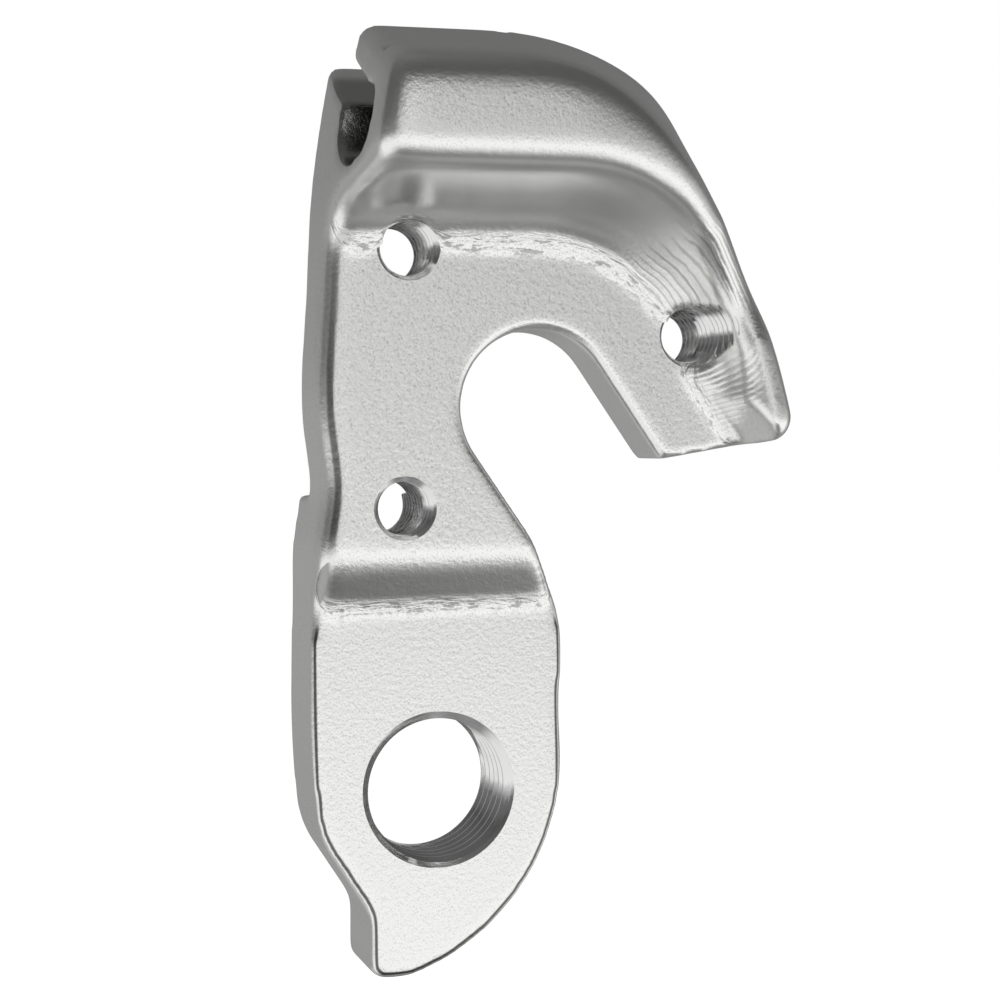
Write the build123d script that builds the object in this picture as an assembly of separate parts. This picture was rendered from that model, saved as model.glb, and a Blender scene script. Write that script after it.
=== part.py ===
from build123d import *
import math
import os

# Replaceable derailleur hanger, one machined aluminium piece, millimetres.
# Origin: axis of the derailleur thread on the front face of the lower plate.
# +X runs toward the axle notch, +Y inboard (front face to back face), +Z up.

# Depths along Y
lower_back_y = 6.4
upper_front_y = -1.6
upper_back_y = 4.0
block_front_y = -9.8

# Derailleur thread, M10 x 1
derailleur_wall_r = 4.5
derailleur_chamfer = 0.5

# Fixing threads, M4 x 0.7, as (X, Z)
screw_wall_r = 1.7
screw_chamfer = 0.33
screw_places = [(-2.28, 17.95), (-1.77, 34.08), (16.8, 28.6)]

# Axle notch
axle_x = 6.5
axle_z = 24.1
axle_r = 4.97
notch_lean_deg = 56.0
arm_wall_length = 6.0
tip_wall_length = 7.5

# Step from the lower plate's front up to the upper plate's, and the shoulder behind it
step_foot_z = 11.6
step_slope_deg = 26.6
step_round_r = 3.6
shoulder_z = 18.75

# Recess around the axle nut: flat floor, concave foot, steep wall
recess_r = 9.4
recess_foot_r = 3.4
recess_wall_deg = 16.0
recess_turn_deg = 110.0
recess_lip_r = 2.0
relief_r = 9.0
relief_foot_r = 1.2

# Raised block
block_top_z = 47.6
block_top_drop = 3.0
block_fall_r = 31.6
block_edge_r = 1.2
left_draft_deg = 6.6
left_edge_r = 1.2
back_edge_r = 1.2

# Slot behind the front wall of the block, with its floor, ramp and hooked lip
slot_front_y = -7.0
slot_width = 5.1
slot_floor_z = 38.8
ramp_foot_z = 42.8
ramp_rise_deg = 30.0
lip_end_y = -2.5
lip_throat = 2.5
slot_end_x = 4.5

# Edge break at the notch
notch_edge_break = 0.3

reach = 80.0


def turned(x, z, degrees, distance):
    """Point at a distance from (x, z) along a direction in the XZ plane."""
    angle = math.radians(degrees)
    return (x + distance * math.cos(angle), z + distance * math.sin(angle))


arm_tangent = turned(axle_x, axle_z, -90 - notch_lean_deg, axle_r)
arm_foot = turned(*arm_tangent, -notch_lean_deg, arm_wall_length)
tip_tangent = turned(axle_x, axle_z, 90 - notch_lean_deg, axle_r)
tip_foot = turned(*tip_tangent, -notch_lean_deg, tip_wall_length)

# Outline points as (X, Z): below the notch, then the crest of the block behind and in front
waist_foot = (8.28, 3.0)
bottom_foot = (-2.3, -11.85)
toe = (-3.5, bottom_foot[1])
nose_run = 1.6
nose_foot_z = 21.65
crown_end = (0.22, -1.0)
crown_back = [(2.0, block_top_z), (9.3, 46.61), (13.86, 44.15), (17.4, 37.9), (20.4, 31.0), (22.9, 23.6)]
crown_front = [(3.3, block_top_z - block_top_drop), (8.6, 43.5), (15.04, 36.88), (19.0, 30.75), (21.2, 23.6)]


def right_side(y, crown_places):
    """Everything inside the top, right and lower right edges, on the plane at depth y."""
    down_notch = turned(0, 0, -notch_lean_deg, 1)
    end_x = crown_places[-1][0]
    with BuildSketch(Plane.XZ.offset(-y)) as sketch:
        with BuildLine():
            top = Line((-reach / 2, crown_places[0][1]), crown_places[0])
            crown = Spline(crown_places, tangents=[(1.0, 0.0), crown_end])
            nose = TangentArc(crown @ 1, (end_x - nose_run, nose_foot_z), tangent=crown % 1)
            Line(nose @ 1, tip_foot)
            Line(tip_foot, arm_foot)
            bottom = ThreePointArc(waist_foot, (4.53, -7.77), bottom_foot)
            Spline(arm_foot, (6.85, 14.1), (8.0, 11.7), (8.43, 9.0), waist_foot, tangents=[down_notch, bottom % 0])
            Polyline(bottom_foot, (-reach / 2, bottom_foot[1]), top @ 0)
        make_face()
    return sketch.sketch


def left_side():
    """Everything inside the heel, the derailleur stop and the long left edge."""
    with BuildSketch(Plane.XZ) as sketch:
        with BuildLine():
            heel = ThreePointArc(toe, (-4.3, -11.6), (-4.67, -10.9))
            stop = Line(heel @ 1, (-4.6, -8.6))
            cheek = ThreePointArc(stop @ 1, (-4.68, -7.75), (-5.0, -7.0))
            slope = Line(cheek @ 1, (-7.2, -3.5))
            turn = ThreePointArc(slope @ 1, (-7.78, -2.1), (-8.05, -0.3))
            edge = Spline(turn @ 1, (-8.27, 5.5), (-8.02, 12.5), (-7.83, 16.2), (-7.4, shoulder_z), (-7.72, 23.0),
                          (-7.4, 31.0), (-7.0, 37.0), (-6.3, 42.0), (-5.0, block_top_z + 0.6))
            Polyline(edge @ 1, (reach, block_top_z + 0.6), (reach, toe[1]), toe)
        make_face()
    return sketch.sketch


def blank():
    """The full outline in depth: leaning top and right walls, and a left wall drafted in front."""
    levels = [(lower_back_y, crown_back), (lip_end_y, crown_back), (block_front_y, crown_front)]
    right = [loft([right_side(*back), right_side(*front)], ruled=True) for back, front in zip(levels, levels[1:])]
    draft = math.radians(left_draft_deg)
    straight = extrude(left_side(), lower_back_y, dir=(0, 1, 0))
    drafted = extrude(left_side(), reach / 4, dir=(math.sin(draft), -math.cos(draft), 0))
    return (right[0] + right[1]) & (straight + drafted)


def front_envelope():
    """Space the block may fill: flat front at the left, falling back along an arc to the right."""
    end_x = axle_x + 0.75 * block_fall_r
    drop = block_fall_r - math.sqrt(block_fall_r**2 - (end_x - axle_x)**2)
    with BuildSketch(Plane.XY.offset(-reach / 2)) as sketch:
        with BuildLine():
            flat = Line((-reach, block_front_y), (axle_x, block_front_y))
            fall = RadiusArc(flat @ 1, (end_x, block_front_y + drop), -block_fall_r)
            Polyline(fall @ 1, (end_x, reach), (-reach, reach), flat @ 0)
        make_face()
    return extrude(sketch.sketch, 2 * reach)


def recess_profile(near, floor_end, foot_r):
    """Section of the recess as (distance from the axle, height in front of the floor)."""
    wall = math.radians(recess_wall_deg)
    top = reach / 2
    foot_end = (floor_end + foot_r * math.cos(wall), foot_r * (1 - math.sin(wall)))
    wall_end = (foot_end[0] + (top - foot_end[1]) * math.tan(wall), top)
    middle = math.radians(45 - recess_wall_deg / 2)
    foot_middle = (floor_end + foot_r * math.sin(middle), foot_r * (1 - math.cos(middle)))
    with BuildLine() as line:
        floor = Line((near, 0), (floor_end, 0))
        foot = ThreePointArc(floor @ 1, foot_middle, foot_end)
        Polyline(foot @ 1, wall_end, (near, top), (near, 0))
    return make_face(line.line)


def recess():
    """Cut that follows the block's foot: straight, round the axle, then beside the notch."""
    across = Plane(origin=(axle_x, upper_front_y, axle_z), x_dir=(0, 0, 1), z_dir=(1, 0, 0))
    turn_axis = Axis((axle_x, 0, axle_z), (0, 1, 0))
    straight = extrude(across * recess_profile(-reach, recess_r, recess_foot_r), -reach)
    around = revolve(across * recess_profile(0, recess_r, recess_foot_r), turn_axis, recess_turn_deg)
    relief = across * recess_profile(-reach / 4, relief_r, relief_foot_r)
    beside = extrude(relief.rotate(turn_axis, notch_lean_deg), reach)
    return straight, around, beside


def side_cut(profile):
    """Cut with one section in the YZ plane, right through the hanger along X."""
    return extrude(Plane.YZ * profile, reach, both=True)


def step_cut():
    """Space in front of the lower plate and of the rounded step above it."""
    slope = math.radians(step_slope_deg)
    round_drop = step_round_r * (1 - math.cos(slope))
    line_top_z = step_foot_z + (-upper_front_y - round_drop) / math.tan(slope)
    top_z = line_top_z + step_round_r * math.sin(slope)
    half = slope / 2
    middle = (upper_front_y + step_round_r * (1 - math.cos(half)), top_z - step_round_r * math.sin(half))
    with BuildLine() as line:
        round_top = ThreePointArc((upper_front_y, top_z), middle, (upper_front_y + round_drop, line_top_z))
        Polyline(round_top @ 1, (0, step_foot_z), (0, -reach), (-reach, -reach), (-reach, top_z), round_top @ 0)
    return side_cut(make_face(line.line))


def shoulder_cut():
    """Space behind the upper plate, above the shoulder where the frame seats."""
    with BuildLine() as line:
        Polyline((upper_back_y, shoulder_z), (reach, shoulder_z), (reach, reach), (upper_back_y, reach), close=True)
    return side_cut(make_face(line.line))


def frame_slot():
    """Round-bottomed slot behind the block's front wall, opening back over the ramp."""
    half = slot_width / 2
    back_y = slot_front_y + slot_width
    centre_z = slot_floor_z + half
    rise = math.radians(ramp_rise_deg)
    lip_z = ramp_foot_z + lip_throat / math.cos(rise) + (lip_end_y - back_y) * math.tan(rise)
    lip_root_z = lip_z - (lip_end_y - slot_front_y) * math.tan(rise)
    ramp_end_y = upper_back_y + half
    ramp_end_z = ramp_foot_z + (ramp_end_y - back_y) * math.tan(rise)
    with BuildLine() as line:
        floor = ThreePointArc((back_y, centre_z), (slot_front_y + half, slot_floor_z), (slot_front_y, centre_z))
        Polyline(floor @ 1, (slot_front_y, lip_root_z), (lip_end_y, lip_z), (lip_end_y, reach), (ramp_end_y, reach),
                 (ramp_end_y, ramp_end_z), (back_y, ramp_foot_z), floor @ 0)
    return extrude(Plane.YZ.offset(slot_end_x) * make_face(line.line), -reach)


def axle_notch():
    """Open-ended round notch for the wheel axle, its mouth pointing down and forward."""
    across = Plane(origin=(axle_x, 0, axle_z), x_dir=(1, 0, 0), z_dir=(0, -1, 0))
    with BuildSketch(across) as sketch:
        Circle(axle_r)
        with Locations(Location((0, 0, 0), (0, 0, 90 - notch_lean_deg))):
            Rectangle(2 * axle_r, tip_wall_length + 2 * axle_r, align=(Align.CENTER, Align.MAX))
    return extrude(sketch.sketch, reach, both=True)


def bore(x, z, wall_r):
    """Round hole right through along Y."""
    return Pos(x, 0, z) * Rot(90, 0, 0) * Cylinder(wall_r, reach)


def rims(solid, x, z, wall_r):
    """The edges where a bore meets the faces around it."""
    margin = 0.01
    near = [edge for edge in solid.edges() if edge.geom_type != GeomType.LINE]
    middle = Vector(x, 0, z)
    return [edge for edge in near
            if all(abs((Vector(point.X, 0, point.Z) - middle).length - wall_r) < margin
                   for point in (edge @ 0.1, edge @ 0.5, edge @ 0.9))]


def edge_at(solid, x, y, z):
    """The edge that passes through a point."""
    return min(solid.edges(), key=lambda edge: edge.distance_to(Vertex(x, y, z)))


def block_lip_z():
    """Height of the sharp edge between the recess wall and the block's flat front."""
    wall = math.radians(recess_wall_deg)
    rise = upper_front_y - block_front_y - recess_foot_r * (1 - math.sin(wall))
    return axle_z + recess_r + recess_foot_r * math.cos(wall) + rise * math.tan(wall)


front = front_envelope()
for cut in recess():
    front = front - cut
front = fillet(edge_at(front, 0, block_front_y, block_lip_z()), recess_lip_r)
body = front & blank()
body = fillet(edge_at(body, 0, block_front_y, crown_front[0][1]), block_edge_r)
for cut in (step_cut(), shoulder_cut(), axle_notch(), frame_slot()):
    body = body - cut
left = body.edges().filter_by_position(Axis.Y, upper_front_y - 0.01, upper_front_y + 0.01).sort_by(Axis.X)[0]
body = fillet(left, left_edge_r)
back = body.edges().filter_by_position(Axis.Y, upper_back_y - 0.01, upper_back_y + 0.01)
back_left = back.sort_by(Axis.X)[0]
back_notch = edge_at(body, axle_x, upper_back_y, axle_z + axle_r)
body = fillet([back_left, back_notch], back_edge_r)
notch_front = edge_at(body, axle_x, upper_front_y, axle_z + axle_r)
body = chamfer(notch_front, notch_edge_break)
for x, z in screw_places:
    body = body - bore(x, z, screw_wall_r)
    body = chamfer(rims(body, x, z, screw_wall_r), screw_chamfer)
body = body - bore(0, 0, derailleur_wall_r)
body = chamfer(rims(body, 0, 0, derailleur_wall_r), derailleur_chamfer)
os.makedirs("parts", exist_ok=True)
export_step(body, "parts/hanger_body.step")
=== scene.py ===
import bpy
import math
import numpy as np
from collections import namedtuple
from mathutils import Matrix, Vector
from mathutils.kdtree import KDTree


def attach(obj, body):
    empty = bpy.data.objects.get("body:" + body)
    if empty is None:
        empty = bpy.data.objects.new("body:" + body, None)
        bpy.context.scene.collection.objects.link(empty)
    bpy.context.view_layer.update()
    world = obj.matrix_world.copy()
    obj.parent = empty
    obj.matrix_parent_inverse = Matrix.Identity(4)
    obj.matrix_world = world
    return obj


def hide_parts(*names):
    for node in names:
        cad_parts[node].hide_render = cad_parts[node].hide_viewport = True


# Replaceable derailleur hanger: bead-blasted aluminium, ball-milled recess, tapped holes.
# Shapes are modelled in millimetres on the CAD's axes and brought to metres at the end.
# +X runs toward the axle notch, +Y inboard, +Z up. A place with two numbers is (X, Z).

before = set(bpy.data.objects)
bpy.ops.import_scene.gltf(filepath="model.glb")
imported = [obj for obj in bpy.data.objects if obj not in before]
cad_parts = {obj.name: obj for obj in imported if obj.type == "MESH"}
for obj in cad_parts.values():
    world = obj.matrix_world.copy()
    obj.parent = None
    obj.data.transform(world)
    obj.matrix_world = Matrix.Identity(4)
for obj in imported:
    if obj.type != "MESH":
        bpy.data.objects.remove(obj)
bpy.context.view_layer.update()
MM = 0.001
NODE = "hanger_body"

# Faces along Y, and the axes that the ball mill's rings run around
LOWER_FRONT_Y = 0.0
LOWER_BACK_Y = 6.4
UPPER_FRONT_Y = -1.6
UPPER_BACK_Y = 4.0
BLOCK_FRONT_Y = -9.8
NOTCH_AXIS = (6.5, 24.1)
RIGHT_HOLE = (16.8, 28.6)

# Threads. The front mouth's cone reaches out of the face by front_over: hardly at all on the
# small holes, where it would cut into the foot of the block.
Thread = namedtuple("Thread", "crest root pitch chamfer segments front_over")
M4 = Thread(crest=1.68, root=2.02, pitch=0.7, chamfer=0.33, segments=54, front_over=0.04)
M10 = Thread(crest=4.48, root=5.02, pitch=1.0, chamfer=0.5, segments=96, front_over=1.0)
# One pitch of the profile, as shares of the pitch and the radius reached there
THREAD_PROFILE = ((0.125, "crest"), (0.5, "root"), (0.625, "root"), (1.0, "crest"))
# How far the mouths' cones reach out of the back face and into the metal, and the taps past
# the back face and beyond the hole's length
REAR_OVER = 1.0
MOUTH_DEPTH = 0.9
TAP_START = 2.5
TAP_SPARE_LENGTH = 12
ROUND_SIDES = 96

# Holes in the order in which they are cut. The middle one's back mouth lies on the shoulder
# between the two back faces, so it has no countersink there.
Bore = namedtuple("Bore", "name place thread front back flat_back")
BORES = [
    Bore("right", RIGHT_HOLE, M4, UPPER_FRONT_Y, UPPER_BACK_Y, True),
    Bore("top", (-1.77, 34.08), M4, UPPER_FRONT_Y, UPPER_BACK_Y, True),
    Bore("derailleur", (0.0, 0.0), M10, LOWER_FRONT_Y, LOWER_BACK_Y, True),
    Bore("middle", (-2.28, 17.95), M4, UPPER_FRONT_Y, LOWER_BACK_Y, False),
]

# Softening: voxel size, then smoothing passes, whose share is EASE_ALL everywhere and more
# on the edges below, fading out within a distance of them
VOXEL = 0.225
PLUG_MARGIN = 0.12
EASE_PASSES = 150
EASE_FACTOR = 0.5
EASE_ALL = 0.1
EASE_STEP = 0.02
OUTER_SHARE = 1.0
LIP_SHARE = 0.45
LEFT_SHARE = 0.4
PLATE_SHARE = 0.22
EASE_FADE = 3.0
PLATE_FADE = 1.2

# Where those edges are: ranges of the normal while it turns, and of the place
FRONT_TURN = (-0.93, -0.25)
LEFT_TURN = (-0.9, -0.25)
LEFT_FACING_Y = -0.2
OUTWARD = 0.1
BLOCK_EDGE_DEPTH = 1.3
LEFT_EDGE_X = -3.5
LEFT_EDGE_Y = -0.2
LEFT_EDGE_Z = (12, 36)
PLATE_EDGE_DEPTH = 0.8
PLATE_EDGE_Z = 12.5

# Distances within which vertices are merged, sides of the largest gap that is then filled,
# and the sharpest angle that shades smooth
MERGE_CAD = 0.001
MERGE_TAP = 0.0005
MERGE_SLIVERS = 0.0002
SLIVER_SIDES = 6
SMOOTH_DEGREES = 34


# Modelling helpers

def only(obj):
    """Selects one object alone and makes it the active one."""
    if bpy.context.object and bpy.context.object.mode != "OBJECT":
        bpy.ops.object.mode_set(mode="OBJECT")
    bpy.ops.object.select_all(action="DESELECT")
    obj.select_set(True)
    bpy.context.view_layer.objects.active = obj


def named(name):
    """Names the object that was just made, and its data."""
    obj = bpy.context.object
    obj.name = name
    obj.data.name = name
    return obj


def edit_all(obj):
    """Opens the object in edit mode with all of its mesh selected."""
    only(obj)
    bpy.ops.object.mode_set(mode="EDIT")
    bpy.ops.mesh.select_all(action="SELECT")


def leave_edit():
    """Goes back to object mode."""
    bpy.ops.object.mode_set(mode="OBJECT")


def apply_place(obj):
    """Moves the object's place, turn and scale into its mesh."""
    only(obj)
    bpy.ops.object.transform_apply(location=True, rotation=True, scale=True)


def apply_modifier(obj, kind, **settings):
    """Adds a modifier with its settings and applies it at once."""
    only(obj)
    modifier = obj.modifiers.new(kind.lower(), kind)
    for key, value in settings.items():
        setattr(modifier, key, value)
    bpy.ops.object.modifier_apply(modifier=modifier.name)


def joined(objects, name):
    """Joins the objects into the first one, under a name."""
    only(objects[0])
    for obj in objects[1:]:
        obj.select_set(True)
    bpy.ops.object.join()
    return named(name)


def along_y(obj, place, y):
    """Turns a piece made along Z so that its top points to the front, and puts it in place."""
    obj.rotation_euler = (math.radians(90), 0, 0)
    obj.location = (place[0], y, place[1])
    apply_place(obj)


def recalculated(obj):
    """Turns all faces outward."""
    edit_all(obj)
    bpy.ops.mesh.normals_make_consistent(inside=False)
    leave_edit()
    return obj


# Cutters for the tapped holes

def tap(bore):
    """A tap: one pitch of thread profile, screwed along the hole and closed at both ends."""
    thread = bore.thread
    bpy.ops.mesh.primitive_plane_add(size=thread.pitch, location=(0, 0, 0))
    obj = named(bore.name)
    edit_all(obj)
    bpy.ops.mesh.merge(type="CENTER")
    for rise, level in THREAD_PROFILE:
        bpy.ops.mesh.extrude_region_move(TRANSFORM_OT_translate={"value": (0, 0, 0.001)})
        leave_edit()
        tip = [vertex for vertex in obj.data.vertices if vertex.select][0]
        tip.co = (getattr(thread, level), 0, thread.pitch * rise)
        bpy.ops.object.mode_set(mode="EDIT")
    leave_edit()
    obj.data.vertices[0].co = (thread.crest, 0, 0)
    turns = math.ceil((bore.back - bore.front + TAP_SPARE_LENGTH) / thread.pitch)
    apply_modifier(obj, "SCREW", angle=math.tau, screw_offset=thread.pitch, iterations=turns,
                   steps=thread.segments, render_steps=thread.segments, axis="Z",
                   use_smooth_shade=False)
    edit_all(obj)
    bpy.ops.mesh.remove_doubles(threshold=MERGE_TAP)
    bpy.ops.mesh.select_all(action="DESELECT")
    bpy.ops.mesh.select_mode(type="EDGE")
    bpy.ops.mesh.select_non_manifold()
    bpy.ops.mesh.edge_face_add()
    bpy.ops.mesh.select_mode(type="VERT")
    leave_edit()
    along_y(obj, bore.place, bore.back + TAP_START)
    return recalculated(obj)


def mouth(bore, face, outward, over):
    """Countersink cone at one end of a hole. outward is -1 at the front face and 1 at the back."""
    rim = bore.thread.crest + bore.thread.chamfer
    bpy.ops.mesh.primitive_cone_add(vertices=ROUND_SIDES, radius1=rim - MOUTH_DEPTH,
                                    radius2=rim + over, depth=MOUTH_DEPTH + over,
                                    location=(0, 0, 0))
    obj = named(bore.name + "_mouth")
    obj.rotation_euler = (math.radians(-90 * outward), 0, 0)
    apply_place(obj)
    obj.location = (bore.place[0], face + outward * (over - MOUTH_DEPTH) / 2, bore.place[1])
    apply_place(obj)
    return recalculated(obj)


# Material helpers

def group(name, inputs, outputs):
    """A group of nodes, with the two nodes inside it that hold its inputs and outputs."""
    tree = bpy.data.node_groups.new(name, "ShaderNodeTree")
    for label, default in inputs:
        socket = tree.interface.new_socket(name=label, in_out="INPUT",
                                           socket_type="NodeSocketFloat")
        socket.default_value = default
    for label in outputs:
        tree.interface.new_socket(name=label, in_out="OUTPUT", socket_type="NodeSocketFloat")
    return tree, tree.nodes.new("NodeGroupInput"), tree.nodes.new("NodeGroupOutput")


def feed(tree, socket, value):
    """Sets a socket to a constant, or links another node's output to it."""
    if isinstance(value, bpy.types.NodeSocket):
        tree.links.new(value, socket)
    else:
        socket.default_value = value


def calculate(tree, operation, first, second=0, clamp=False):
    """A maths node between two values."""
    node = tree.nodes.new("ShaderNodeMath")
    node.operation = operation
    node.use_clamp = clamp
    feed(tree, node.inputs[0], first)
    feed(tree, node.inputs[1], second)
    return node.outputs[0]


def product(tree, first, *others):
    """All the values multiplied."""
    for other in others:
        first = calculate(tree, "MULTIPLY", first, other)
    return first


def fade(tree, value, low, high, start=0.0, end=1.0, curve="SMOOTHSTEP"):
    """A step from start to end while value goes from low to high."""
    node = tree.nodes.new("ShaderNodeMapRange")
    node.interpolation_type = curve
    feed(tree, node.inputs["Value"], value)
    limits = {"From Min": low, "From Max": high, "To Min": start, "To Max": end}
    for label, number in limits.items():
        node.inputs[label].default_value = number
    return node.outputs["Result"]


def fade_mm(tree, value, low, high, start=0.0, end=1.0):
    """A fade whose low and high are lengths in millimetres."""
    return fade(tree, value, low * MM, high * MM, start, end)


def noise(tree, vector, scale, detail, roughness):
    """Noise between 0 and 1."""
    node = tree.nodes.new("ShaderNodeTexNoise")
    for label, number in (("Scale", scale), ("Detail", detail), ("Roughness", roughness)):
        node.inputs[label].default_value = number
    tree.links.new(vector, node.inputs["Vector"])
    return node.outputs["Fac"]


def stretched(tree, rotation=(0, 0, 0), scale=(1, 1, 1)):
    """Object coordinates, turned and stretched."""
    coords = tree.nodes.new("ShaderNodeTexCoord")
    mapping = tree.nodes.new("ShaderNodeMapping")
    mapping.inputs["Rotation"].default_value = rotation
    mapping.inputs["Scale"].default_value = scale
    tree.links.new(coords.outputs["Object"], mapping.inputs["Vector"])
    return mapping.outputs["Vector"]


def split(tree, kind):
    """X, Y and Z of the Object coordinates or of the Normal, in the part's own axes."""
    coords = tree.nodes.new("ShaderNodeTexCoord")
    node = tree.nodes.new("ShaderNodeSeparateXYZ")
    tree.links.new(coords.outputs[kind], node.inputs[0])
    return node.outputs


def region(tree, place, spans):
    """A mask over a part of the object: its fades along X, Y and Z, multiplied."""
    return product(tree, *(fade_mm(tree, place[axis], *span) for axis, *span in spans))


def mixed(tree, share, first, second):
    """A colour between two colours."""
    node = tree.nodes.new("ShaderNodeMix")
    node.data_type = "RGBA"
    factor, colour_a, colour_b = node.inputs[0], node.inputs[6], node.inputs[7]
    feed(tree, factor, share)
    feed(tree, colour_a, first)
    feed(tree, colour_b, second)
    return node.outputs[2]


def bump(tree, height, strength, distance_mm):
    """A bump node over a height, with its distance in millimetres."""
    node = tree.nodes.new("ShaderNodeBump")
    node.inputs["Strength"].default_value = strength
    node.inputs["Distance"].default_value = distance_mm * MM
    tree.links.new(height, node.inputs["Height"])
    return node


def new_material(name):
    """A material with its node tree and its Principled shader."""
    made = bpy.data.materials.new(name)
    made.use_nodes = True
    return made, made.node_tree, made.node_tree.nodes["Principled BSDF"]


# Masks of the blasted metal: grain, tool marks and painted shade

# Regions, as fades along the axes: axis, from and to in millimetres, then start and end
BLOCK_TO_PLATE = [("Y", BLOCK_FRONT_Y + 0.5, UPPER_FRONT_Y - 1, 0.65, 1.0)]
# The next two regions hold the painted shade line along the eased edges
PLATE_EDGE = [("Z", 10.2, 11.0, 1, 0), ("Y", 1.2, 1.0, 0, 1)]
LONG_LEFT_EDGE = [("X", -5.6, -5.0, 1, 0), ("Z", 14.5, 17, 0, 0.8), ("Z", 24, 34, 1, 0.35),
                  ("Z", 35, 38, 1, 0)]
# The next two regions hold the painted shade on the step's slope and in the frame slot
STEP_SLOPE = [("Z", 11, 11.6, 0, 1), ("Z", 14.6, 15.2, 1, 0), ("Y", 0.4, 0.2, 0, 1)]
FRAME_SLOT = [("X", 4.6, 4.8, 1, 0), ("Y", -7.5, -7.3, 0, 1), ("Y", 1.0, 3.0, 1, 0),
              ("Z", 38, 38.6, 0, 1), ("Z", 44.8, 45.6, 1, 0)]
ABOVE_HOLE = [("Z", 29.5, 31, 0, 1)]
BELOW_HOLE = [("Z", 26.5, 28.5, 1, 0), ("X", 19.2, 20.4, 0.7, 0)]
RECESS_WALLS = [("Y", UPPER_FRONT_Y - 0.25, UPPER_FRONT_Y - 0.05, 1, 0)]
RECESS_FOOT = [("Y", -2.1, -1.8, 0, 1), ("Y", -1.66, UPPER_FRONT_Y, 1, 0)]
STEP_FOOT = [("Y", -0.45, -0.15, 0, 1), ("Y", -0.06, LOWER_FRONT_Y, 1, 0)]

# Ranges of the normal in which a mask fades. Without its sign, Y is 1 on a flat face and falls
# while an edge turns.
FLAT_FACE = (0.9, 0.985)
# The next two ranges place the painted shade line where an eased edge begins to turn
EDGE_SHADE_START = (0.985, 0.96)
EDGE_SHADE_END = (0.82, 0.9)
# The next three ranges place the painted shade on the step's slope and in the frame slot
SLOPE = (0.93, 0.86)
FACING_DOWN = -0.2
SIDEWAYS = (0.6, 0.75)
FACING_RIGHT = (0.5, 0.7)
FACING_FRONT = (-0.7, -0.5)

# Shares and noise levels: edge grain, pits, painted shade in ragged foot lines and ring troughs
EDGE_GRAIN = 0.55
PITS = (0.34, 0.45)
FOOT_LINE_SHADE_LEVELS = (0.47, 0.38)
FOOT_LINE_SHADE_SHARE = 0.7
GROOVE_SHADE_LEVELS = (-0.3, -0.95)
GROOVE_SHADE_SHARE = 0.45

# Noise, with scales per metre, and its turn and stretch
FINE_GRAIN = dict(scale=8500, detail=3.0, roughness=0.7)
FINE_GRAIN_LEAN = math.radians(35)
FINE_GRAIN_STRETCH = (1, 1, 0.75)
BROAD_GRAIN = dict(scale=3000, detail=1.0, roughness=0.5)
RING_NOISE = dict(scale=500, detail=2.0, roughness=0.5)
LAYER_NOISE = dict(scale=1.0, detail=3.0, roughness=0.65)
LAYER_STRETCH = (900, 12000, 900)

# Rings of the ball mill: spacing and how far they reach from the hole in millimetres
NOTCH_RING_SPACING = 0.34
HOLE_RING_SPACING = 0.36
NOTCH_RING_REACH = (5.0, 8.0)
HOLE_RING_REACH = (5.5, 8.5)
RING_WOBBLE = 7.0


def blast_grain():
    """Dimples of bead blasting on the flat faces: height, darker pits, and how flat it is."""
    tree, given, out = group("blast_grain", [("Dimple", 1.0), ("Mottle", 1.1)],
                             ["Height", "Pits", "Faces"])
    place, normal = split(tree, "Object"), split(tree, "Normal")
    flatness = fade(tree, calculate(tree, "ABSOLUTE", normal["Y"]), *FLAT_FACE, EDGE_GRAIN)
    faces = product(tree, flatness, region(tree, place, BLOCK_TO_PLATE))
    fine = noise(tree, stretched(tree, (0, FINE_GRAIN_LEAN, 0), FINE_GRAIN_STRETCH), **FINE_GRAIN)
    broad = noise(tree, stretched(tree), **BROAD_GRAIN)
    dimples = calculate(tree, "ADD", product(tree, fine, given.outputs["Dimple"]),
                        product(tree, broad, given.outputs["Mottle"]))
    tree.links.new(product(tree, dimples, faces), out.inputs["Height"])
    tree.links.new(product(tree, fade(tree, fine, *PITS, 1, 0), faces), out.inputs["Pits"])
    tree.links.new(faces, out.inputs["Faces"])
    return tree


def painted_edge_shade():
    """Painted shade: a dark line along the lower plate's eased edge and the long left edge."""
    tree, _, out = group("painted_edge_shade", [], ["Crease"])
    place, normal = split(tree, "Object"), split(tree, "Normal")
    level = calculate(tree, "ABSOLUTE", normal["Y"])
    turning = product(tree, fade(tree, level, *EDGE_SHADE_START), fade(tree, level, *EDGE_SHADE_END))
    edges = calculate(tree, "MAXIMUM", region(tree, place, PLATE_EDGE),
                      region(tree, place, LONG_LEFT_EDGE))
    tree.links.new(product(tree, turning, edges), out.inputs["Crease"])
    return tree


def painted_wall_shade():
    """Painted shade darkening the walls: the step's slope and the inside of the frame slot."""
    tree, _, out = group("painted_wall_shade", [], ["Shade"])
    place, normal = split(tree, "Object"), split(tree, "Normal")
    sloping = product(tree, fade(tree, calculate(tree, "ABSOLUTE", normal["Y"]), *SLOPE),
                      calculate(tree, "LESS_THAN", normal["Z"], FACING_DOWN))
    not_sideways = fade(tree, calculate(tree, "ABSOLUTE", normal["X"]), *SIDEWAYS, 1, 0)
    step = product(tree, sloping, region(tree, place, STEP_SLOPE))
    slot = product(tree, not_sideways, region(tree, place, FRAME_SLOT))
    tree.links.new(calculate(tree, "MAXIMUM", step, slot), out.inputs["Shade"])
    return tree


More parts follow.
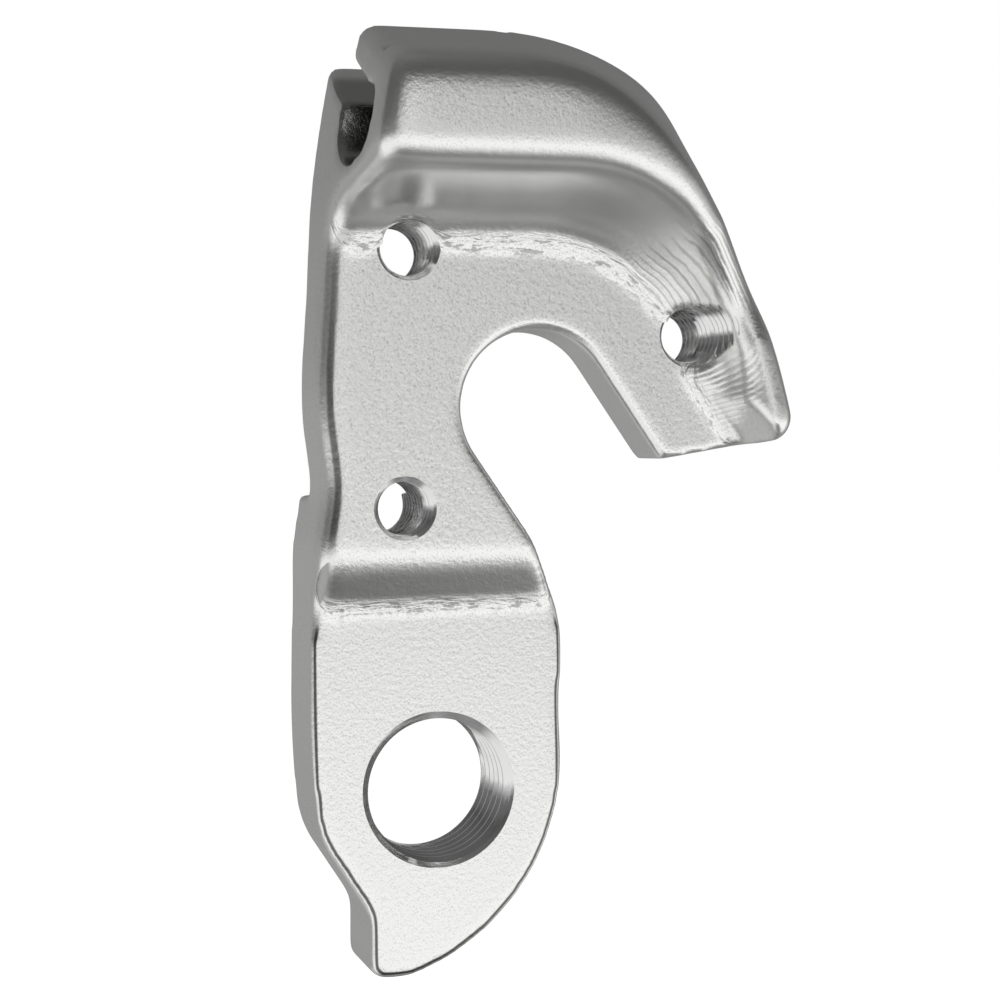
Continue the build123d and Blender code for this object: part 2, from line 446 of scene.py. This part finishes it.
def mill_marks():
    """Ball mill rings near the right hole and lines along both feet: bumps and painted shade."""
    tree, given, out = group("mill_marks", [("Rings", 0.5), ("Feet", 4.0)], ["Height", "Line shade"])
    place, normal = split(tree, "Object"), split(tree, "Normal")
    wobble = product(tree, noise(tree, stretched(tree), **RING_NOISE), RING_WOBBLE)

    def distance(x, z):
        """How far the surface is from an axis along Y."""
        flat = tree.nodes.new("ShaderNodeCombineXYZ")
        tree.links.new(calculate(tree, "SUBTRACT", place["X"], x * MM), flat.inputs["X"])
        tree.links.new(calculate(tree, "SUBTRACT", place["Z"], z * MM), flat.inputs["Z"])
        length = tree.nodes.new("ShaderNodeVectorMath")
        length.operation = "LENGTH"
        tree.links.new(flat.outputs[0], length.inputs[0])
        return length.outputs["Value"]

    def rings(radius, spacing):
        """Wobbly waves around an axis, from -1 to 1."""
        turns = product(tree, radius, math.tau / (spacing * MM))
        return calculate(tree, "SINE", calculate(tree, "ADD", turns, wobble))

    from_notch, from_hole = distance(*NOTCH_AXIS), distance(*RIGHT_HOLE)
    above = product(tree, fade_mm(tree, from_hole, *NOTCH_RING_REACH, 1, 0),
                    region(tree, place, ABOVE_HOLE))
    below = product(tree, fade_mm(tree, from_hole, *HOLE_RING_REACH, 1, 0),
                    region(tree, place, BELOW_HOLE))
    arcs = calculate(tree, "ADD", product(tree, rings(from_notch, NOTCH_RING_SPACING), above),
                     product(tree, rings(from_hole, HOLE_RING_SPACING), below))
    not_facing_right = fade(tree, normal["X"], *FACING_RIGHT, 1, 0)
    walls = product(tree, not_facing_right, region(tree, place, RECESS_WALLS))
    layers = noise(tree, stretched(tree, scale=LAYER_STRETCH), **LAYER_NOISE)
    either_foot = calculate(tree, "ADD", region(tree, place, RECESS_FOOT),
                            region(tree, place, STEP_FOOT), clamp=True)
    facing_front = fade(tree, normal["Y"], *FACING_FRONT, 1, 0)
    feet = product(tree, either_foot, facing_front)
    ring_height = product(tree, arcs, walls, given.outputs["Rings"])
    foot_height = product(tree, layers, feet, given.outputs["Feet"])
    tree.links.new(calculate(tree, "ADD", ring_height, foot_height), out.inputs["Height"])
    # Painted shade: the low parts of the foot lines and of the ring troughs are darkened
    foot_line_shade = product(tree, fade(tree, layers, *FOOT_LINE_SHADE_LEVELS, 0, FOOT_LINE_SHADE_SHARE), feet)
    groove_shade = product(tree, fade(tree, arcs, *GROOVE_SHADE_LEVELS, 0, GROOVE_SHADE_SHARE), walls)
    tree.links.new(calculate(tree, "MAXIMUM", foot_line_shade, groove_shade), out.inputs["Line shade"])
    return tree


# Materials

METAL = (0.965, 0.97, 0.95, 1)
PIT_TONE = (0.72, 0.725, 0.725, 1)
# Painted shade: the dark line along the eased edges
PAINTED_EDGE_SHADE = (0.16, 0.16, 0.15, 1)
# Painted shade on the step's slope and inside the frame slot
PAINTED_WALL_SHADE = (0.42, 0.42, 0.405, 1)
# Painted shade in the low parts of the tool marks
PAINTED_LINE_SHADE = (0.3, 0.3, 0.29, 1)
THREAD_METAL = (0.86, 0.86, 0.855, 1)

# Roughness on edges and on flat faces, or between the streaks and on them. Bumps are strength
# and distance in millimetres.
BLAST_ROUGHNESS = (0.25, 0.2)
THREAD_ROUGHNESS = (0.08, 0.22)
GRAIN_BUMP = (0.58, 0.03)
TOOL_BUMP = (1.0, 0.014)
STREAK_BUMP = (0.5, 0.02)
STREAKS = (0.35, 0.65)
STREAK_STRETCH = (900, 5200, 900)
STREAK_NOISE = dict(scale=1.0, detail=2.0, roughness=0.6)


def blasted_aluminium():
    """Bead-blasted alloy: sparkling flat faces, smoother matte edges and walls, painted shade."""
    made, tree, shader = new_material("blasted_aluminium")
    masks = []
    for mask_group in (blast_grain(), painted_edge_shade(), painted_wall_shade(), mill_marks()):
        node = tree.nodes.new("ShaderNodeGroup")
        node.node_tree = mask_group
        masks.append(node.outputs)
    grain, painted_edges, walls, marks = masks
    colour = METAL
    # Pits are the blasting's own tone; the other three masks darken the colour as painted shade
    for mask, tone in ((grain["Pits"], PIT_TONE), (painted_edges["Crease"], PAINTED_EDGE_SHADE),
                       (walls["Shade"], PAINTED_WALL_SHADE), (marks["Line shade"], PAINTED_LINE_SHADE)):
        colour = mixed(tree, mask, colour, tone)
    tree.links.new(colour, shader.inputs["Base Color"])
    shader.inputs["Metallic"].default_value = 1.0
    roughness = fade(tree, grain["Faces"], EDGE_GRAIN, 1.0, *BLAST_ROUGHNESS)
    tree.links.new(roughness, shader.inputs["Roughness"])
    dimples = bump(tree, grain["Height"], *GRAIN_BUMP)
    tooling = bump(tree, marks["Height"], *TOOL_BUMP)
    tree.links.new(dimples.outputs["Normal"], tooling.inputs["Normal"])
    tree.links.new(tooling.outputs["Normal"], shader.inputs["Normal"])
    return made


def cut_aluminium():
    """Bright tapped thread, with faint streaks left by the tap."""
    made, tree, shader = new_material("cut_aluminium")
    shader.inputs["Metallic"].default_value = 1.0
    shader.inputs["Base Color"].default_value = THREAD_METAL
    streaks = noise(tree, stretched(tree, scale=STREAK_STRETCH), **STREAK_NOISE)
    roughness = fade(tree, streaks, *STREAKS, *THREAD_ROUGHNESS)
    tree.links.new(roughness, shader.inputs["Roughness"])
    streaked = bump(tree, streaks, *STREAK_BUMP)
    tree.links.new(streaked.outputs["Normal"], shader.inputs["Normal"])
    return made


BLASTED = blasted_aluminium()
CUT = cut_aluminium()


# The hanger

def plain_copy(node):
    """The CAD node's shape as one closed mesh in millimetres."""
    obj = bpy.data.objects.new("hanger", node.data.copy())
    bpy.context.scene.collection.objects.link(obj)
    obj.data.transform(Matrix.Scale(1 / MM, 4))
    edit_all(obj)
    bpy.ops.mesh.remove_doubles(threshold=MERGE_CAD)
    leave_edit()
    return obj


def plugs():
    """Cylinders that close the holes flush, so that the body can be softened as one surface."""
    made = []
    for bore in BORES:
        back = bore.back if bore.flat_back else UPPER_BACK_Y
        radius = bore.thread.crest + bore.thread.chamfer + PLUG_MARGIN
        bpy.ops.mesh.primitive_cylinder_add(vertices=ROUND_SIDES, radius=radius,
                                            depth=back - bore.front)
        plug = named(bore.name + "_plug")
        along_y(plug, bore.place, (bore.front + back) / 2)
        made.append(plug)
    return made


def vertex_data(mesh, name):
    """One vector for each vertex, as rows of an array."""
    values = np.empty(len(mesh.vertices) * 3)
    mesh.vertices.foreach_get(name, values)
    return values.reshape(-1, 3)


def between(values, low, high):
    """Which values lie between two limits."""
    return (values > low) & (values < high)


def distances(places, targets):
    """How far each place is from the nearest of the targets."""
    tree = KDTree(len(targets))
    for index, target in enumerate(targets):
        tree.insert(target, index)
    tree.balance()
    return np.array([tree.find(place)[2] for place in places])


def ease_group(obj):
    """How far each place is eased: a little everywhere, most along the block's outer edge."""
    places, normals = vertex_data(obj.data, "co"), vertex_data(obj.data, "normal")
    x, y, z = places.T
    from_notch = places[:, (0, 2)] - np.array(NOTCH_AXIS)
    from_notch /= np.linalg.norm(from_notch, axis=1)[:, None]
    outward = (normals[:, (0, 2)] * from_notch).sum(axis=1)
    turning = between(normals[:, 1], *FRONT_TURN)
    block_edge_y = BLOCK_FRONT_Y + BLOCK_EDGE_DEPTH
    block = turning & (y < block_edge_y)
    long_left = between(normals[:, 0], *LEFT_TURN) & (normals[:, 1] < LEFT_FACING_Y)
    long_left &= (x < LEFT_EDGE_X) & between(z, *LEFT_EDGE_Z)
    long_left &= between(y, block_edge_y, LEFT_EDGE_Y)
    plate = turning & (abs(y) < PLATE_EDGE_DEPTH) & (z < PLATE_EDGE_Z)
    weights = np.full(len(places), EASE_ALL)
    for edge, share, spread in ((block & (outward > OUTWARD), OUTER_SHARE, EASE_FADE),
                                (block & (outward < -OUTWARD), LIP_SHARE, EASE_FADE),
                                (long_left, LEFT_SHARE, EASE_FADE),
                                (plate, PLATE_SHARE, PLATE_FADE)):
        gaps = distances(places, places[edge])
        weights = np.maximum(weights, share * np.clip(1 - (gaps / spread) ** 2, 0, 1))
    ease = obj.vertex_groups.new(name="ease")
    steps = np.round(weights / EASE_STEP).astype(int)
    for step in np.unique(steps):
        ease.add(np.nonzero(steps == step)[0].tolist(), step * EASE_STEP, "REPLACE")
    return ease.name


def softened(obj):
    """One even skin over the body: small edges eased, the big roundovers eased further."""
    apply_modifier(obj, "REMESH", mode="VOXEL", voxel_size=VOXEL)
    apply_modifier(obj, "SMOOTH", factor=EASE_FACTOR, iterations=EASE_PASSES,
                   vertex_group=ease_group(obj))


def cut(obj, cutter):
    """Takes the cutter out of the piece and leaves its own finish on the new surface."""
    cutter.data.materials.append(CUT)
    apply_modifier(obj, "BOOLEAN", operation="DIFFERENCE", object=cutter, solver="EXACT",
                   material_mode="TRANSFER")
    bpy.data.objects.remove(cutter)


def closed(obj):
    """Merges the hair-thin slivers that the cuts leave and closes what they open."""
    edit_all(obj)
    bpy.ops.mesh.remove_doubles(threshold=MERGE_SLIVERS)
    bpy.ops.mesh.delete_loose()
    bpy.ops.mesh.select_all(action="SELECT")
    bpy.ops.mesh.fill_holes(sides=SLIVER_SIDES)
    leave_edit()


def hanger():
    """The softened body with its countersunk and tapped holes, in metres."""
    body = joined([plain_copy(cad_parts[NODE])] + plugs(), "hanger")
    softened(body)
    body.data.materials.clear()
    body.data.materials.append(BLASTED)
    for bore in BORES:
        cut(body, mouth(bore, bore.front, -1, bore.thread.front_over))
        if bore.flat_back:
            cut(body, mouth(bore, bore.back, 1, REAR_OVER))
    for bore in BORES:
        cut(body, tap(bore))
    closed(body)
    body.data.transform(Matrix.Scale(MM, 4))
    only(body)
    bpy.ops.object.shade_smooth_by_angle(angle=math.radians(SMOOTH_DEGREES))
    return body


body = hanger()
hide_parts(NODE)
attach(body, "root")


# Stage, light and camera

FLOOR_Z = -0.0125
FLOOR_SIZE = 2.1
FLOOR_GLOW = 0.93
TENT_RADIUS = 1.5

# Brightness of the tent's walls, as (elevation in degrees, brightness)
FRONT = [(-90, 0.18), (-77, 0.2), (-70, 0.32), (-62, 0.15), (-50, 0.14), (-40, 0.24), (-33, 0.92),
         (-10, 1.0), (-4, 0.82), (2, 0.43), (6.5, 0.45), (8, 1.0), (15, 1.0), (18, 0.08),
         (22, 0.06), (50, 0.1), (90, 0.15)]
RIGHT = [(-90, 0.4), (-72, 0.55), (-62, 0.17), (-54, 0.2), (-45, 0.6), (-38, 1.0), (-12, 0.95),
         (-4, 0.6), (8, 0.45), (16, 0.2), (24, 0.08), (90, 0.09)]
LEFT = [(-90, 0.3), (-62, 0.45), (-52, 0.85), (-12, 0.9), (-5, 0.42), (1, 0.15), (14, 0.13),
        (22, 0.08), (60, 0.13), (90, 0.12)]
BACK = [(-90, 0.2), (-50, 0.42), (-32, 0.5), (-24, 0.3), (0, 0.34), (10, 0.26), (30, 0.2),
        (90, 0.15)]
RIGHT_BACK_CORNER = [(-90, 0.16), (-30, 0.32), (0, 0.22), (30, 0.16), (90, 0.12)]

# Where one wall gives way to the next, as shares of the radius along X or Y
FRONT_TO_RIGHT = (0.15, 0.45)
FRONT_TO_LEFT = (-0.12, -0.45)
BACK_TO_CORNER = (-0.1, 0.3)
FRONT_TO_BACK = (-0.1, 0.25)

# The photo's camera: place in millimetres, turns in degrees, focal length in pixels
CAMERA_PLACE = (-33.517, -124.304, 22.430)
CAMERA_YAW, CAMERA_PITCH, CAMERA_ROLL = -16.94, -1.83, 0.97
FOCAL_PIXELS = 2039.18
PICTURE_PIXELS = 1000
SENSOR_WIDTH = 36
CLIP_START = 0.005


def background_glow(tree, strength):
    """Strength for the rays that show the white background: camera, mirror and see-through."""
    path = tree.nodes.new("ShaderNodeLightPath")
    direct = calculate(tree, "MAXIMUM", path.outputs["Is Camera Ray"],
                       path.outputs["Is Glossy Ray"])
    shown = calculate(tree, "MAXIMUM", direct, path.outputs["Is Transmission Ray"])
    return product(tree, shown, strength)


def studio_floor():
    """A pale floor that takes the shadow and isn't seen in the metal."""
    bpy.ops.mesh.primitive_plane_add(size=FLOOR_SIZE, location=(0, 0, FLOOR_Z))
    floor = named("floor")
    apply_place(floor)
    made, tree, shader = new_material("pale_floor")
    shader.inputs["Base Color"].default_value = (0.8, 0.8, 0.8, 1)
    shader.inputs["Roughness"].default_value = 0.9
    shader.inputs["Specular IOR Level"].default_value = 0.0
    shader.inputs["Emission Color"].default_value = (1, 1, 1, 1)
    tree.links.new(background_glow(tree, FLOOR_GLOW), shader.inputs["Emission Strength"])
    floor.data.materials.append(made)
    floor.visible_glossy = False


def tent_wall(tree, stops, height):
    """A wall's brightness by height, which runs from 0 at the bottom to 1 at the top."""
    node = tree.nodes.new("ShaderNodeValToRGB")
    elements = node.color_ramp.elements
    while len(elements) < len(stops):
        elements.new(0.5)
    for element, (degrees, value) in zip(elements, stops):
        element.position = (math.sin(math.radians(degrees)) + 1) / 2
        element.color = (value, value, value, 1)
    tree.links.new(height, node.inputs["Fac"])
    return node.outputs["Color"]


def light_tent():
    """A closed light tent around the object: a white belt in front, greyer walls elsewhere."""
    bpy.ops.mesh.primitive_uv_sphere_add(segments=48, ring_count=24, radius=TENT_RADIUS)
    tent = named("light_tent")
    made, tree, shader = new_material("tent_wall")
    shader.inputs["Base Color"].default_value = (0, 0, 0, 1)
    shader.inputs["Specular IOR Level"].default_value = 0.0
    shader.inputs["Emission Strength"].default_value = 1.0
    place = split(tree, "Object")
    height = fade(tree, place["Z"], -TENT_RADIUS, TENT_RADIUS, curve="LINEAR")
    front, right, left, back, corner = (tent_wall(tree, stops, height)
                                        for stops in (FRONT, RIGHT, LEFT, BACK, RIGHT_BACK_CORNER))

    def blend(axis, span, first, second):
        """One wall going over into another along an axis."""
        share = fade(tree, place[axis], span[0] * TENT_RADIUS, span[1] * TENT_RADIUS)
        return mixed(tree, share, first, second)

    front = blend("X", FRONT_TO_LEFT, blend("X", FRONT_TO_RIGHT, front, right), left)
    back = blend("X", BACK_TO_CORNER, back, corner)
    around = blend("Y", FRONT_TO_BACK, front, back)
    tree.links.new(around, shader.inputs["Emission Color"])
    made.cycles.emission_sampling = "NONE"
    tent.data.materials.append(made)
    tent.visible_camera = False


def white_world():
    """A white background for the rays that show it, which lights nothing."""
    world = bpy.data.worlds.new("studio")
    bpy.context.scene.world = world
    world.use_nodes = True
    tree = world.node_tree
    background = tree.nodes["Background"]
    background.inputs["Color"].default_value = (1, 1, 1, 1)
    tree.links.new(background_glow(tree, 1.0), background.inputs["Strength"])


def camera():
    """The photo's camera, as fitted to the rims of the holes."""
    data = bpy.data.cameras.new("camera")
    data.sensor_width = SENSOR_WIDTH
    data.lens = FOCAL_PIXELS * SENSOR_WIDTH / PICTURE_PIXELS
    data.clip_start = CLIP_START
    obj = bpy.data.objects.new("camera", data)
    bpy.context.scene.collection.objects.link(obj)
    turn = (Matrix.Rotation(math.radians(CAMERA_YAW), 3, "Z")
            @ Matrix.Rotation(math.radians(CAMERA_PITCH), 3, "X")
            @ Matrix.Rotation(math.radians(CAMERA_ROLL), 3, "Y"))
    right, ahead, up = (turn @ Vector(axis) for axis in ((1, 0, 0), (0, 1, 0), (0, 0, 1)))
    pose = Matrix((right, up, -ahead)).transposed().to_4x4()
    pose.translation = Vector(CAMERA_PLACE) * MM
    obj.matrix_world = pose
    bpy.context.scene.camera = obj


studio_floor()
light_tent()
white_world()
camera()
bpy.context.scene.view_settings.view_transform = "Standard"
